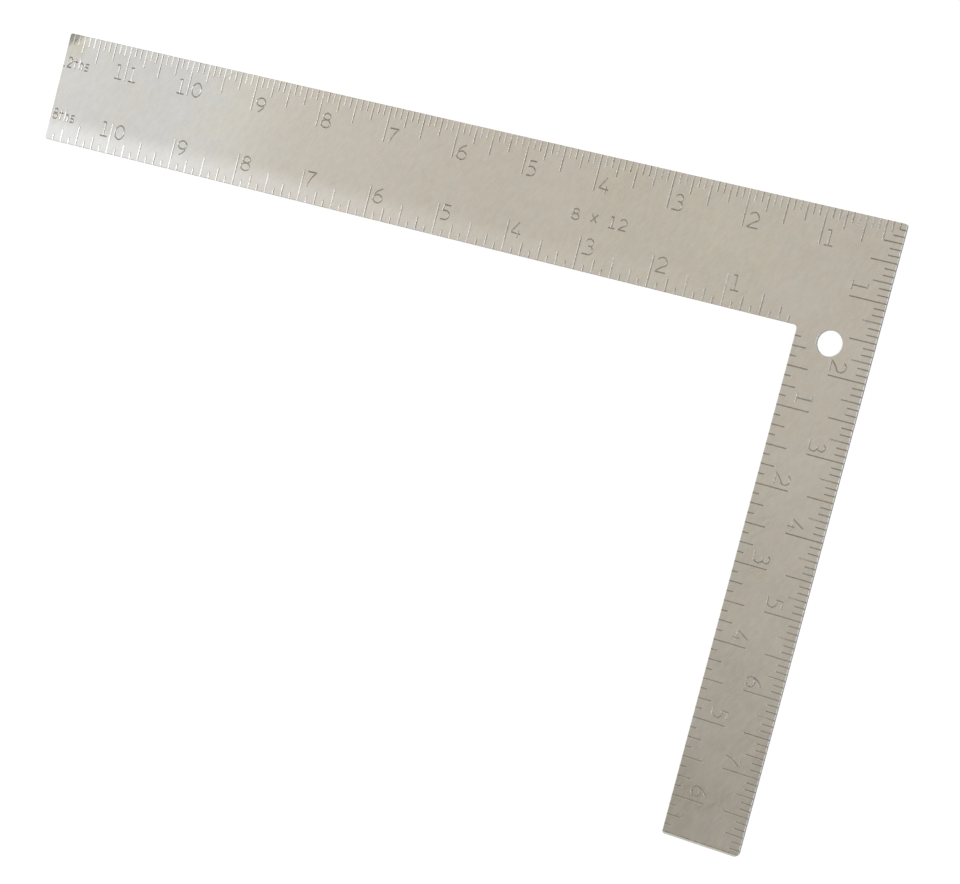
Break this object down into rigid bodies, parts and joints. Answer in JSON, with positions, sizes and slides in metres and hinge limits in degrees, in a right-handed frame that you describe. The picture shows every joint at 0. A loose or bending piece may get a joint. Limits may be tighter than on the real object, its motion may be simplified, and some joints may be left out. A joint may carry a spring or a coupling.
{
  "type": "steel square",
  "caption": "Flat L-shaped steel square with a wide long leg and a narrow short leg, inch scales cut along its edges, and a hanging hole at the corner.",
  "frame": {"origin": "middle of the underside of the plate's bounding box", "axes": "+X along the long leg (body) towards the heel, +Y from the short leg's end towards the body's outer edge, +Z out of the front face, which carries the twelfths and eighths"},
  "size_m": [0.3048, 0.2032, 0.002],
  "materials": {
    "steel": "satin"
  },
  "bodies": {
    "root": {"square_plate": "steel"}
  },
  "joints": []
}
